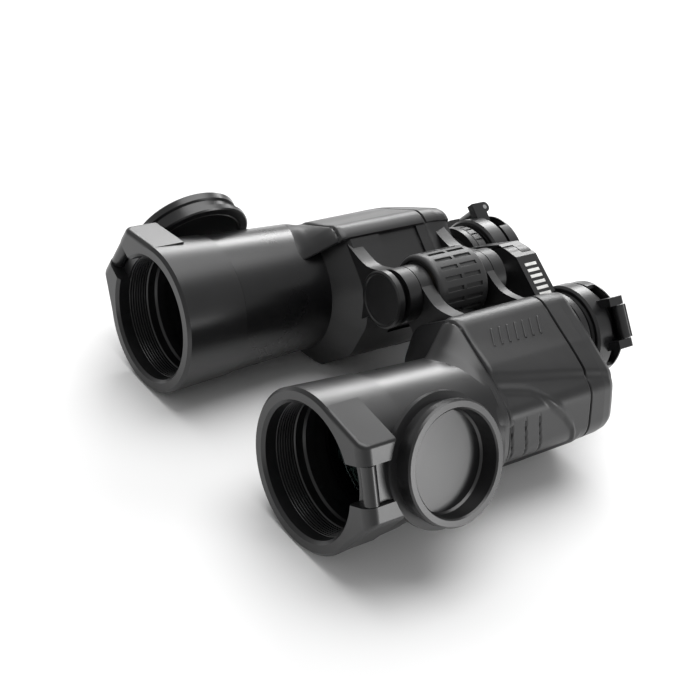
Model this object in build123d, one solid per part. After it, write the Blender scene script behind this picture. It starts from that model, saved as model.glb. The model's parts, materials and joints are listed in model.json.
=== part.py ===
"""Binoculars with 50 mm objectives, centre focus, flip-up lens covers at both ends.

Working frame, in mm: X to the user's right, Y forward to the objectives, Z up. The working origin is
midway between the two hood mouths, on the line through both objective axes. save() moves every node
to the library frame, whose origin is the centre of the bounding box's bottom face.
"""
import math
import os
from functools import lru_cache

from build123d import *

# ---- layout at rest (both halves folded 24 degrees below flat) ----
OBJECTIVE_X = 58.0          # objective axis from the middle plane
HINGE_Z = 26.0              # centre hinge above the objective axes
OCULAR_X = 32.5             # eyepiece axis from the middle plane
OCULAR_Z = 8.0              # eyepiece axis above the objective axes
FLOOR_Z = -32.8             # the surface it stands on
REAR_Y = -179.4             # back of the closed eyepiece lids
FRAME_SHIFT = (0.0, -REAR_Y / 2.0, -FLOOR_Z)

# ---- hood, barrel and objective ----
HOOD_RADIUS = 33.0
HOOD_LENGTH = 30.0
HOOD_BORE = 27.0
HOOD_REAR_BORE = 29.05
SPIGOT_RADIUS = 28.95
SPIGOT_LENGTH = 6.0
TAPER = 0.0519              # radius lost per mm along the cone
BARREL_STEP = 0.5           # barrel stands this much inside the hood
BARREL_END = 77.0
BARREL_END_RADIUS = 29.0
BARREL_BORE = 27.4
CELL_FRONT = 33.0
CELL_LENGTH = 13.0
LENS_RADIUS = 26.0
LENS_CLEAR = 25.0

# ---- objective cap and its hinge on the hood ----
LUG_ANGLE = 26.0            # direction of the hinge lug, above the outward horizontal
LUG_FACE = 38.0             # lug's outer face from the objective axis
LUG_HALF = 15.0
LUG_LENGTH = 16.0
LUG_ROUND = 4.5
SLOT_HALF = 7.8
PIN_R = 35.0                # cap pin from the objective axis
PIN_Y = -4.2
PIN_RADIUS = 1.25
KNUCKLE_RADIUS = 3.0
KNUCKLE_HALF = 7.5
FLANGE_FACE_Y = -2.2        # front face of the closed cap, inside the mouth
FLANGE_RADIUS = 26.4
FLANGE_THICK = 2.6
CAP_GROOVE_RADIUS = 23.2
CAP_RING_RADIUS = 24.2
CAP_CUP_RADIUS = 20.6
CAP_DEPTH = 11.4
CAP_FLOOR = 3.0
CAP_REST_TURN = 272.0       # how far the cap is swung open at rest

# ---- prism housing and rear cover ----
FLARE_END = 85.0
SEAM_Y = 128.0
COVER_END = 146.0
WALL = 3.8
PANEL_DEPTH = 1.1
GRIP_DEPTH = 1.2
BORE_RUN = 0.05             # radial running clearance of pins and shafts

# Corners of the housing's cross-section (x, z, corner radius), right side, seen from behind
HOUSING_CORNERS = [
    (15.5, 20.0, 12.0),
    (40.0, 39.0, 8.0),
    (62.0, 28.5, 16.0),
    (80.0, 17.5, 8.0),
    (84.5, -2.0, 10.0),
    (56.0, -34.5, 12.0),
    (40.0, -34.5, 10.0),
    (20.5, -17.5, 14.0),
    (13.6, 2.0, 16.0),
]
SCREW_SPOTS = [(58.0, 25.2), (54.0, -28.2)]
BOSS_RADIUS = 3.4
SCREW_RADIUS = 1.25
SCREW_HEAD = 2.5
SCREW_SEAT = -139.5

# ---- prisms ----
REAR_PRISM_ANGLE = 117.6    # direction of the first shift of the light, from +X towards +Z
PRISM_OFFSET = 18.9
PRISM_HALF = 15.8
PRISM_WIDTH = 16.2
SHELF_Y = -114.0
SHELF_THICK = 2.0
BEAM_RADIUS = 7.8
SECTION_POINTS = 40
OUTLINE_SAMPLES = 400
SECTION_CENTRE = (50.0, 0.0)

# ---- centre hinge and focus ----
AXLE_RADIUS = 5.0
AXLE_BORE = 3.05
LUG_RING_RADIUS = 12.0
RIGHT_FRONT_RING = (-90.2, -83.6)
LEFT_FRONT_RING = (-97.2, -90.6)
WHEEL_SPAN = (-125.4, -97.6)
WHEEL_RADIUS = 15.8
WHEEL_DASHES = 20
DASH_LENGTH = 9.2
DASH_WIDTH = 2.0
DASH_DEPTH = 1.2
DASH_GAP = 1.0
LEFT_REAR_RING = (-132.4, -125.8)
RIGHT_REAR_RING = (-139.2, -132.8)
SOCKET_CAP_SPAN = (-80.1, -76.8)
AXLE_HEAD = (-83.4, -80.3)
INSERT_END = -92.0
SHAFT_RADIUS = 3.0
NUT_RADIUS = 9.0
AXLE_HEAD_RADIUS = 10.0
INSERT_RADIUS = 4.2
SOCKET_RADIUS = 3.17
SOCKET_CAP_RADIUS = 12.6

# ---- eyepieces ----
ARM_SPAN = (-160.6, -148.2)
HUB_RADIUS = 10.5
HUB_SPLIT = -154.4
SLEEVE_RADIUS = 15.8
SLEEVE_BORE = 14.05
SLEEVE_FRONT = -137.0
SLEEVE_REAR = -159.0
DIOPTER_SPAN = (-160.0, -154.7)
COVER_HOLE = 16.3
TUBE_RADIUS = 14.0
TUBE_BORE = 12.6
COLLAR_RADIUS = 19.9
EYECUP_RADIUS = 19.4
EYECUP_REAR = -175.6
RING_RADIUS = 22.0
RING_SPAN = (-171.2, -162.0)
SHOULDER_RADIUS = 17.2
LEFT_SHOULDER = -160.5
RIGHT_SHOULDER = -162.0
LEFT_FLANGE = (-159.0, -155.6)
RIGHT_FLANGE = (-154.3, -151.3)
DIOPTER_RIBS = 30
LID_EAR_IN = 7.7
LID_ANGLE = 38.0
LID_PIN_R = 24.0
LID_PIN_Y = -175.4
LID_PIN_RADIUS = 1.1
LID_KNUCKLE = 2.6
LID_RADIUS = 21.6
LID_PIN_HALF = 11.5


# ---------------------------------------------------------------- helpers
def block(x0, x1, y0, y1, z0, z1):
    """An axis-aligned box between two corners."""
    return Pos((x0 + x1) / 2, (y0 + y1) / 2, (z0 + z1) / 2) * Box(abs(x1 - x0), abs(y1 - y0), abs(z1 - z0))


def rod(radius, y0, y1, x=0.0, z=0.0):
    """A cylinder along Y."""
    return Pos(x, (y0 + y1) / 2, z) * Rot(90, 0, 0) * Cylinder(radius, abs(y1 - y0))


def tube(outer, inner, y0, y1, x=0.0, z=0.0):
    """A hollow cylinder along Y."""
    return rod(outer, y0, y1, x, z) - rod(inner, min(y0, y1) - 1, max(y0, y1) + 1, x, z)


def turned(profile, x=0.0, z=0.0):
    """A solid of revolution about a line along Y. The profile is a loop of (radius, y)."""
    face = make_face(Polyline(*profile, close=True))
    return Pos(x, 0, z) * revolve(face, Axis.Y, 360)


def plate(outline, y0, y1):
    """A plate with an outline of (x, z) points, between two values of Y."""
    face = make_face(Polyline(*[(px, 0, pz) for px, pz in outline], close=True))
    return Pos(0, min(y0, y1), 0) * extrude(face, abs(y1 - y0), dir=(0, 1, 0))


def across(angle, x=OBJECTIVE_X, z=0.0):
    """Local frame of a hinge on a tube: X outward, Y along the tube, Z along the hinge pin."""
    return Pos(x, 0, z) * Rot(0, -angle, 0)


def cone_radius(y):
    """Outer radius of the hood's cone at y."""
    return HOOD_RADIUS + TAPER * y


def single(shape):
    """The one solid of a shape."""
    solids = shape.solids()
    if len(solids) != 1:
        raise ValueError(f"expected one solid, found {len(solids)}")
    return solids[0]


def save(name, shape):
    """Write one node in the library frame."""
    moved = Pos(*FRAME_SHIFT) * single(shape)
    export_step(moved, f"parts/{name}.step")


def save_pair(name, shape):
    """Write a right-hand node and its mirror image on the left."""
    save(f"right_{name}", shape)
    save(f"left_{name}", mirror(single(shape), about=Plane.YZ))


# ---------------------------------------------------------------- hood and objective
def objective_hood():
    """Tapered lens shade with the two hinge pads of the objective cap."""
    rear = -HOOD_LENGTH
    front_round = 1.3
    profile = [
        (HOOD_BORE + front_round, 0),
        (HOOD_RADIUS - front_round, 0),
        (HOOD_RADIUS, -front_round),
        (cone_radius(rear), rear),
        (HOOD_REAR_BORE, rear),
        (HOOD_REAR_BORE, rear + SPIGOT_LENGTH + 0.2),
        (HOOD_BORE - 1.2, rear + SPIGOT_LENGTH + 0.2),
        (HOOD_BORE - 1.2, -20.0),
        (HOOD_BORE - 0.5, -19.0),
        (HOOD_BORE - 0.5, -15.5),
        (HOOD_BORE, -15.0),
        (HOOD_BORE, -front_round),
    ]
    body = turned(profile)
    # the pads swell out of the round hood along its tangents
    reach = math.hypot(LUG_FACE, LUG_HALF)
    touch = math.atan2(LUG_HALF, LUG_FACE) + math.acos(HOOD_RADIUS / reach)
    touch_x = HOOD_RADIUS * math.cos(touch)
    touch_z = HOOD_RADIUS * math.sin(touch)
    swell = plate([
        (touch_x, touch_z), (LUG_FACE, LUG_HALF), (LUG_FACE, -LUG_HALF), (touch_x, -touch_z), (0, 0),
    ], -LUG_LENGTH, 0)
    front_edge = swell.edges().filter_by(Axis.Z).sort_by(Axis.Y)[-1]
    swell = fillet(front_edge, LUG_ROUND)
    side_edges = swell.edges().filter_by(Axis.Y).sort_by(Axis.X)[-2:]
    swell = fillet(side_edges, 2.0)
    body = body + (swell - rod(HOOD_BORE + 1.5, -40, 5))
    # gap for the cap's arm, its knuckle and the edge of the rim under the arm
    body -= block(31.6, LUG_FACE + 5, -LUG_LENGTH - 1, 5, -SLOT_HALF, SLOT_HALF)
    body -= Pos(PIN_R, PIN_Y, 0) * Cylinder(KNUCKLE_RADIUS + 0.5, 2 * SLOT_HALF)
    body -= block(HOOD_BORE - 3, LUG_FACE, -5.4, 5, -SLOT_HALF, SLOT_HALF)
    body -= Pos(PIN_R, PIN_Y, 0) * Cylinder(PIN_RADIUS, 2 * LUG_HALF - 2)
    # the pads end in a hollow round the edge of the open cap
    body -= Pos(LUG_FACE, PIN_Y - PIN_R, 0) * Rot(0, 90, 0) * Cylinder(FLANGE_RADIUS + 1.0, 2 * (LUG_FACE - 32.5))
    body = across(LUG_ANGLE) * body
    return body - block(0, 120, -60, 10, FLOOR_Z - 20, FLOOR_Z)


def cap_hinge_pin():
    """Steel pin through the hood's pads."""
    pin = Pos(PIN_R, PIN_Y, 0) * Cylinder(PIN_RADIUS, 2 * LUG_HALF - 2)
    return across(LUG_ANGLE) * pin


def objective_cap():
    """Plug cap, modelled closed and then swung open round its pin."""
    face = FLANGE_FACE_Y
    back = face - CAP_DEPTH
    cap = turned([
        (0, face - 0.4),
        (FLANGE_RADIUS - 5.0, face - 0.4),
        (FLANGE_RADIUS - 4.0, face),
        (FLANGE_RADIUS - 0.6, face),
        (FLANGE_RADIUS, face - 0.6),
        (FLANGE_RADIUS, face - FLANGE_THICK),
        (CAP_GROOVE_RADIUS, face - FLANGE_THICK - 0.6),
        (CAP_GROOVE_RADIUS, back + 4.2),
        (CAP_RING_RADIUS, back + 3.4),
        (CAP_RING_RADIUS, back + 0.7),
        (CAP_RING_RADIUS - 0.7, back),
        (CAP_CUP_RADIUS + 0.6, back),
        (CAP_CUP_RADIUS, back + 0.6),
        (CAP_CUP_RADIUS - 0.4, face - CAP_FLOOR - 0.8),
        (CAP_CUP_RADIUS - 1.2, face - CAP_FLOOR),
        (0, face - CAP_FLOOR),
    ])
    arm = block(FLANGE_RADIUS - 4, PIN_R, face - FLANGE_THICK, face, -KNUCKLE_HALF, KNUCKLE_HALF)
    knuckle = Pos(PIN_R, PIN_Y, 0) * Cylinder(KNUCKLE_RADIUS, 2 * KNUCKLE_HALF)
    cap = cap + arm + knuckle
    cap -= Pos(PIN_R, PIN_Y, 0) * Cylinder(PIN_RADIUS + BORE_RUN, 4 * KNUCKLE_HALF)
    swing = Pos(PIN_R, PIN_Y, 0) * Rot(0, 0, -CAP_REST_TURN) * Pos(-PIN_R, -PIN_Y, 0)
    return across(LUG_ANGLE) * swing * cap


def objective_barrel():
    """Cone between the hood and the prism housing, with a spigot inside the hood."""
    front = -HOOD_LENGTH
    end = -BARREL_END
    return turned([
        (BARREL_BORE, front + SPIGOT_LENGTH),
        (SPIGOT_RADIUS, front + SPIGOT_LENGTH),
        (SPIGOT_RADIUS, front),
        (cone_radius(front) - BARREL_STEP - 0.4, front),
        (cone_radius(front) - BARREL_STEP, front - 0.4),
        (BARREL_END_RADIUS, end),
        (BARREL_END_RADIUS - 3.4, end),
        (BARREL_END_RADIUS - 3.4, end + 14),
        (BARREL_BORE, end + 17),
    ], OBJECTIVE_X)


def objective_cell():
    """Ring that seats the two objective lenses, with a lip behind them."""
    front = -CELL_FRONT
    back = front - CELL_LENGTH
    outer = BARREL_BORE - 0.05
    return turned([
        (LENS_RADIUS + 0.05, front),
        (outer, front),
        (outer, back),
        (LENS_CLEAR - 0.6, back),
        (LENS_CLEAR - 0.6, back + 1.2),
        (LENS_RADIUS + 0.05, back + 1.2),
    ], OBJECTIVE_X)


def lens(radius, front_y, back_y, front_bulge, back_bulge, x, z):
    """A lens with curved faces. A bulge is how far a face's middle stands out (+) or in (-)."""
    edges = [Line((radius, front_y), (radius, back_y))]
    for edge_y, bulge, way in ((front_y, front_bulge, 1), (back_y, back_bulge, -1)):
        depth = abs(bulge)
        curve = (radius ** 2 + depth ** 2) / (2 * depth)
        rise = depth - curve + math.sqrt(curve ** 2 - (radius / 2) ** 2)
        halfway = (radius / 2, edge_y + way * math.copysign(rise, bulge))
        edges.append(ThreePointArc((radius, edge_y), halfway, (0, edge_y + way * bulge)))
    edges.append(Line((0, front_y + front_bulge), (0, back_y - back_bulge)))
    return Pos(x, 0, z) * revolve(make_face(edges), Axis.Y, 360)


def retaining_ring():
    """Slotted ring screwed in front of the objective lenses."""
    front = -CELL_FRONT + 2.4
    ring = tube(BARREL_BORE - 0.05, LENS_CLEAR, front, -CELL_FRONT + 0.02, OBJECTIVE_X)
    for side in (-1, 1):
        middle = OBJECTIVE_X + side * (LENS_CLEAR + 1.3)
        ring -= block(middle - 2, middle + 2, front - 1.0, front + 1, -0.8, 0.8)
    return ring


# ---------------------------------------------------------------- prism housing
@lru_cache(maxsize=None)
def outline(inset):
    """Points round the housing's cross-section at even angles, moved inward by an inset."""
    corners = [(x, z) for x, z, _ in HOUSING_CORNERS]
    face = make_face(Polyline(*corners, close=True))
    for x, z, radius in HOUSING_CORNERS:
        corner = min(face.vertices(), key=lambda v: math.hypot(v.X - x, v.Y - z))
        face = fillet(corner, radius)
    if inset > 0:
        face = offset(face, -inset)
    wire = face.face().outer_wire()
    spots = [wire.position_at(index / OUTLINE_SAMPLES) for index in range(OUTLINE_SAMPLES)]
    angles = [(math.atan2(s.Y - SECTION_CENTRE[1], s.X - SECTION_CENTRE[0]), s.X, s.Y) for s in spots]
    points = []
    for index in range(SECTION_POINTS):
        wanted = -math.pi + 2 * math.pi * index / SECTION_POINTS
        points.append(min(angles, key=lambda spot: abs(spot[0] - wanted)))
    return points


def section_face(y, blend, inset):
    """The housing's section at y: blend 0 is the barrel's circle, 1 the full cross-section."""
    centre_x, centre_z = SECTION_CENTRE
    radius = BARREL_END_RADIUS - inset
    offset_x = centre_x - OBJECTIVE_X
    points = []
    for angle, x, z in outline(inset):
        along = offset_x * math.cos(angle) + centre_z * math.sin(angle)
        left = offset_x ** 2 + centre_z ** 2 - radius ** 2
        reach = -along + math.sqrt(along ** 2 - left)
        circle_x = centre_x + reach * math.cos(angle)
        circle_z = centre_z + reach * math.sin(angle)
        points.append((circle_x + (x - circle_x) * blend, y, circle_z + (z - circle_z) * blend))
    return make_face(Spline(*points, periodic=True))


def housing_body(inset, rear_y):
    """The flared and then straight body of the housing, inset all round."""
    middle = -(BARREL_END + FLARE_END) / 2
    flare = loft([
        section_face(-BARREL_END, 0.0, inset),
        section_face(middle, 0.55, inset),
        section_face(-FLARE_END, 1.0, inset),
    ])
    straight = extrude(section_face(-FLARE_END, 1.0, inset), -FLARE_END - rear_y, dir=(0, -1, 0))
    return flare + straight


def hinge_arm(ring, web):
    """Curved web from the housing to a ring on the axle. Both are (back, front) places."""
    top = Spline((2, 37.2), (11, 33.2), (19, 30.6), (28, 31.6), (35, 33.4))
    bottom = Spline((33, 6), (24, 1.5), (15.5, 6.0), (8, 13.2), (2, 15.2))
    outline = [top, Line((35, 33.4), (33, 6)), bottom, Line((2, 15.2), (2, 37.2))]
    face = Pos(0, web[1], 0) * Rot(90, 0, 0) * make_face(outline)
    arm = extrude(face, web[1] - web[0], dir=(0, -1, 0))
    return arm + rod(LUG_RING_RADIUS, ring[0], ring[1], 0, HINGE_Z)


def grip_grooves():
    """Three curved finger grooves on the outer side, as tools reaching through the wall."""
    tools = []
    for index in range(3):
        middle_y = -86.0 - 11.0 * index
        ring = Pos(90, middle_y + 42.0, -8) * Rot(0, 90, 0) * (Cylinder(45.0, 40) - Cylinder(40.5, 41))
        tools.append(ring & block(60, 110, middle_y - 12, middle_y + 8, -30, 8))
    return tools


def grip_panel():
    """Outline of the D-shaped thumb panel, as a tool reaching through the outer wall."""
    return (
        block(58, 110, -112, -70, -26, 13)
        + Pos(88, -112, -5.5) * Rot(0, 90, 0) * Cylinder(20.5, 44)
        & block(58, 110, -124, -81, -26, 13)
    )


def prism_housing():
    """Hollow housing that flares from the barrel, before the hinge arms are added."""
    body = housing_body(0.0, -SEAM_Y)
    shallow = housing_body(PANEL_DEPTH, -SEAM_Y - 2)
    deep = housing_body(PANEL_DEPTH + GRIP_DEPTH, -SEAM_Y - 2)
    body -= grip_panel() - shallow
    for groove in grip_grooves():
        body -= groove - deep
    # ledge along the outer shoulder and a shallow field on the inner side
    ledge = Pos(71.0, -105, 21.2) * Rot(0, 34, 0) * Box(5.0, 60, 3.0)
    body -= (ledge & block(60, 100, -200, -82, 0, 40)) - shallow
    field = block(-10, 47, -123, -101, -6, 60)
    body -= field - shallow
    body -= block(0, 120, -200, 0, FLOOR_Z - 20, FLOOR_Z)
    return body


def housing_cavity():
    """Everything hollow inside the housing."""
    cavity = housing_body(WALL, -SEAM_Y - 1)
    return cavity + rod(BARREL_END_RADIUS - WALL - 0.1, -BARREL_END + 1, -BARREL_END - 6, OBJECTIVE_X)


def screw_bosses(y0, y1):
    """Round bosses for the cover screws."""
    first, second = [rod(BOSS_RADIUS, y0, y1, x, z) for x, z in SCREW_SPOTS]
    return first, second


def finished_housing(ring, axle_gap):
    """The housing with its front hinge arm and the screw bosses."""
    cavity = housing_cavity()
    body = prism_housing() + (hinge_arm(ring, ring) - cavity) - cavity
    for boss in screw_bosses(-SEAM_Y, -SEAM_Y + 10):
        body += boss
    body -= rod(AXLE_RADIUS + axle_gap, -200, 0, 0, HINGE_Z)
    for x, z in SCREW_SPOTS:
        body -= rod(SCREW_RADIUS, -SEAM_Y - 1, -SEAM_Y + 7, x, z)
    return body


def rear_cover(ring, axle_gap):
    """Rounded cover that closes the housing round the eyepiece, with the rear hinge arm."""
    end = -COVER_END
    body = loft([
        section_face(-SEAM_Y - 0.05, 1.0, 0.3),
        section_face(-SEAM_Y - 0.6, 1.0, 0.0),
        section_face(end + 9, 1.0, 0.3),
        section_face(end + 4.5, 1.0, 1.4),
        section_face(end + 1.3, 1.0, 3.8),
        section_face(end, 1.0, 6.5),
    ])
    inner = loft([
        section_face(-SEAM_Y + 1, 1.0, WALL),
        section_face(end + 9, 1.0, WALL + 0.3),
        section_face(end + 4, 1.0, WALL + 3.5),
    ])
    web = (ring[0], min(ring[1], -SEAM_Y - 0.3))
    body = body + (hinge_arm(ring, web) - inner) - inner
    for boss in screw_bosses(-SEAM_Y - 0.05, end + 6):
        body += boss
    body -= rod(COVER_HOLE, -200, -SEAM_Y, OCULAR_X, OCULAR_Z)
    body -= rod(AXLE_RADIUS + axle_gap, -200, 0, 0, HINGE_Z)
    for x, z in SCREW_SPOTS:
        body -= rod(SCREW_RADIUS, -200, 0, x, z)
        body -= rod(SCREW_HEAD, -200, SCREW_SEAT, x, z)
    body -= block(0, 120, -200, 0, FLOOR_Z - 20, FLOOR_Z)
    return body


def cover_screw(x, z):
    """Pan-head screw with a cross recess, seated in the cover."""
    head_back = SCREW_SEAT - 1.4
    screw = rod(SCREW_RADIUS - 0.05, -SEAM_Y + 6, SCREW_SEAT, x, z)
    screw += rod(SCREW_HEAD - 0.15, SCREW_SEAT, head_back, x, z)
    screw -= block(x - 1.1, x + 1.1, head_back - 1, head_back + 0.7, z - 0.25, z + 0.25)
    screw -= block(x - 0.25, x + 0.25, head_back - 1, head_back + 0.7, z - 1.1, z + 1.1)
    return screw


# ---------------------------------------------------------------- prisms
def prism_frame(index):
    """Local frame of a prism: X along its long face, Y along the light, Z across its width."""
    first = (math.cos(math.radians(REAR_PRISM_ANGLE)), math.sin(math.radians(REAR_PRISM_ANGLE)))
    second = (-first[1], first[0])
    half = PRISM_OFFSET / 2
    x = OBJECTIVE_X + first[0] * half
    z = first[1] * half
    if index == 0:
        return Pos(x, SHELF_Y - SHELF_THICK - 0.05, z) * Rot(0, -REAR_PRISM_ANGLE, 0)
    x += first[0] * half + second[0] * half
    z += first[1] * half + second[1] * half
    return Pos(x, SHELF_Y + 0.05, z) * Rot(0, -REAR_PRISM_ANGLE - 90, 0)


def upright(outline_points, half_width):
    """A plate of (x, y) points, of the given half width along Z."""
    face = make_face(Polyline(*outline_points, close=True))
    return Pos(0, 0, -half_width) * extrude(face, 2 * half_width, dir=(0, 0, 1))


def prism(index):
    """Right-angle prism lying with its long face on the shelf."""
    way = -1 if index == 0 else 1
    half = PRISM_HALF
    body = upright([
        (-half, 0), (half, 0), (half, way * 0.9), (1.2, way * (half - 0.3)),
        (-1.2, way * (half - 0.3)), (-half, way * 0.9),
    ], PRISM_WIDTH / 2)
    return prism_frame(index) * body


def prism_clip(index):
    """Spring strap bent over the prism's roof."""
    way = -1 if index == 0 else 1
    roof = PRISM_HALF - 0.1
    body = upright([
        (-12, way * 5.3), (-1.3, way * roof), (1.3, way * roof), (12, way * 5.3),
        (12, way * 6.2), (1.5, way * (roof + 0.7)), (-1.5, way * (roof + 0.7)), (-12, way * 6.2),
    ], 3.0)
    return prism_frame(index) * body


def prism_shelf():
    """Plate across the housing with a hole for each pass of the light."""
    shelf = extrude(section_face(SHELF_Y, 1.0, WALL + 0.4), SHELF_THICK, dir=(0, -1, 0))
    angle = math.radians(REAR_PRISM_ANGLE)
    beam = [
        (OBJECTIVE_X, 0.0),
        (OBJECTIVE_X + math.cos(angle) * PRISM_OFFSET, math.sin(angle) * PRISM_OFFSET),
        (OCULAR_X, OCULAR_Z),
    ]
    for x, z in beam:
        shelf -= rod(BEAM_RADIUS, -200, 0, x, z)
    return shelf


# ---------------------------------------------------------------- centre hinge and focus
def hinge_axle():
    """Hollow axle of the centre hinge, with a head and the bore of the tripod insert in front."""
    back, head = AXLE_HEAD
    axle = rod(AXLE_RADIUS, RIGHT_REAR_RING[0] - 0.3, head, 0, HINGE_Z)
    axle += rod(AXLE_HEAD_RADIUS, back, head, 0, HINGE_Z)
    axle -= rod(AXLE_BORE, -200, INSERT_END - 6, 0, HINGE_Z)
    axle -= rod(INSERT_RADIUS, INSERT_END, 0, 0, HINGE_Z)
    return axle


def tripod_insert():
    """Brass insert for a tripod adaptor's quarter-inch screw."""
    head = AXLE_HEAD[1]
    return tube(INSERT_RADIUS - 0.01, SOCKET_RADIUS, INSERT_END + 0.02, head - 0.1, 0, HINGE_Z)


def socket_cap():
    """Round screw cap over the tripod socket."""
    back, front = SOCKET_CAP_SPAN
    radius = SOCKET_CAP_RADIUS
    cap = turned([
        (0, front - 0.5), (radius - 1.9, front - 0.5), (radius - 1.5, front), (radius - 0.7, front),
        (radius, front - 0.7), (radius, back), (0, back),
    ], 0, HINGE_Z)
    return cap + rod(SOCKET_RADIUS - 0.07, back, INSERT_END + 3, 0, HINGE_Z)


def focus_wheel():
    """Focusing wheel with two rows of dashes cut round its grip."""
    back, front = WHEEL_SPAN
    middle = (back + front) / 2
    rim = WHEEL_RADIUS
    wheel = turned([
        (NUT_RADIUS + 0.05, front), (rim - 3.0, front), (rim - 1.0, front - 0.6), (rim, front - 2.6),
        (rim, back + 2.2), (rim - 0.8, back + 0.5), (rim - 2.0, back), (NUT_RADIUS + 0.05, back),
    ], 0, HINGE_Z)
    inner = rim - DASH_DEPTH
    dashes = []
    for index in range(WHEEL_DASHES):
        turn = Pos(0, 0, HINGE_Z) * Rot(0, 360 / WHEEL_DASHES * index, 0)
        for side in (-1, 1):
            y = middle + side * (DASH_LENGTH / 2 + DASH_GAP)
            dash = Pos(inner + 2, y, 0) * Box(4, DASH_LENGTH, DASH_WIDTH)
            dashes.append(turn * dash)
    return wheel - dashes


def focus_nut():
    """Brass core of the wheel, running on the axle."""
    back, front = WHEEL_SPAN
    return tube(NUT_RADIUS, AXLE_RADIUS + BORE_RUN, back, front, 0, HINGE_Z)


def bridge_shaft():
    """Sliding shaft inside the axle that carries the eyepiece bridge."""
    return rod(SHAFT_RADIUS, ARM_SPAN[0] - 1.5, INSERT_END - 12, 0, HINGE_Z)


def bridge_end_cap():
    """Slotted screw that keeps the bridge on its shaft."""
    front = ARM_SPAN[0] - 0.1
    cap = turned([
        (SHAFT_RADIUS + 0.02, front), (5.6, front), (5.6, front - 1.6), (5.0, front - 2.2),
        (0, front - 2.2), (0, front - 1.45), (SHAFT_RADIUS + 0.02, front - 1.45),
    ], 0, HINGE_Z)
    return cap - block(-6, 6, front - 3, front - 1.9, HINGE_Z - 0.6, HINGE_Z + 0.6)


# ---------------------------------------------------------------- eyepieces
def eyepiece_arm(hub, flange):
    """Bridge arm: half of the hub, a sloping plate and the sleeve that holds the eyepiece tube."""
    back, front = ARM_SPAN
    outline_points = [(0, 36.4), (6, 36.2), (32, 19.8), (36, 8), (22, -2), (13, 10.5), (5, 17.2)]
    arm = plate(outline_points, back, front)
    arm -= rod(HUB_RADIUS + 0.4, back - 1, front + 1, 0, HINGE_Z)
    arm += rod(HUB_RADIUS, hub[0], hub[1], 0, HINGE_Z)
    web = plate(outline_points, hub[0], hub[1])
    arm += web
    arm -= rod(SHAFT_RADIUS + BORE_RUN, -200, 0, 0, HINGE_Z)
    clear_y = flange[0] - 0.05 if hub[1] > HUB_SPLIT else flange[0] - 0.35
    arm -= rod(COLLAR_RADIUS + 0.35, -200, clear_y, OCULAR_X, OCULAR_Z)
    arm += rod(SLEEVE_RADIUS, SLEEVE_REAR, SLEEVE_FRONT, OCULAR_X, OCULAR_Z)
    arm += rod(COLLAR_RADIUS, flange[0], flange[1], OCULAR_X, OCULAR_Z)
    arm -= rod(SLEEVE_BORE, -200, 0, OCULAR_X, OCULAR_Z)
    return arm


def eyepiece_barrel(shoulder):
    """Tube of the eyepiece with the shoulder that the eyecup sits on."""
    return turned([
        (TUBE_BORE, SLEEVE_FRONT - 1), (TUBE_RADIUS, SLEEVE_FRONT - 1), (TUBE_RADIUS, shoulder),
        (SHOULDER_RADIUS - 0.4, shoulder), (SHOULDER_RADIUS, shoulder - 0.4), (SHOULDER_RADIUS, -171.0),
        (10.6, -171.0), (10.6, -169.6), (12.0, -168.8), (12.0, -163.4), (11.0, -163.4), (11.0, -162.4),
        (TUBE_BORE, -161.4),
    ], OCULAR_X, OCULAR_Z)


def eyecup(front):
    """Soft rubber eyecup over the end of the tube."""
    rear = EYECUP_REAR
    inner = SHOULDER_RADIUS + 0.05
    return turned([
        (inner, front), (EYECUP_RADIUS - 0.8, front), (EYECUP_RADIUS, front - 0.8),
        (EYECUP_RADIUS, rear + 1.6), (EYECUP_RADIUS - 0.9, rear), (EYECUP_RADIUS - 2.2, rear),
        (EYECUP_RADIUS - 3.4, -172.6), (13.4, -172.6), (13.4, -171.1), (inner, -171.1),
    ], OCULAR_X, OCULAR_Z)


def lid_ring():
    """Clip-on ring round the eyecup with the two knuckles of the lid's hinge."""
    back, front = RING_SPAN
    ring = turned([
        (EYECUP_RADIUS + 0.03, front), (RING_RADIUS - 1.0, front), (RING_RADIUS, front - 1.0),
        (RING_RADIUS, back + 0.8), (RING_RADIUS - 0.8, back), (EYECUP_RADIUS + 0.03, back),
    ])
    for side in (-1, 1):
        z0, z1 = side * LID_EAR_IN, side * LID_PIN_HALF
        ring += block(17, LID_PIN_R + LID_KNUCKLE, LID_PIN_Y, back + 3, z0, z1)
        ring += Pos(LID_PIN_R, LID_PIN_Y, (z0 + z1) / 2) * Cylinder(LID_KNUCKLE, abs(z1 - z0))
    ring -= rod(EYECUP_RADIUS + 0.03, -200, 0)
    ring -= Pos(LID_PIN_R, LID_PIN_Y, 0) * Cylinder(LID_PIN_RADIUS, 60)
    return across(LID_ANGLE, OCULAR_X, OCULAR_Z) * ring


def lid_pin():
    """Bright steel pin of the lid's hinge."""
    pin = Pos(LID_PIN_R, LID_PIN_Y, 0) * Cylinder(LID_PIN_RADIUS, 2 * LID_PIN_HALF)
    return across(LID_ANGLE, OCULAR_X, OCULAR_Z) * pin


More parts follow.
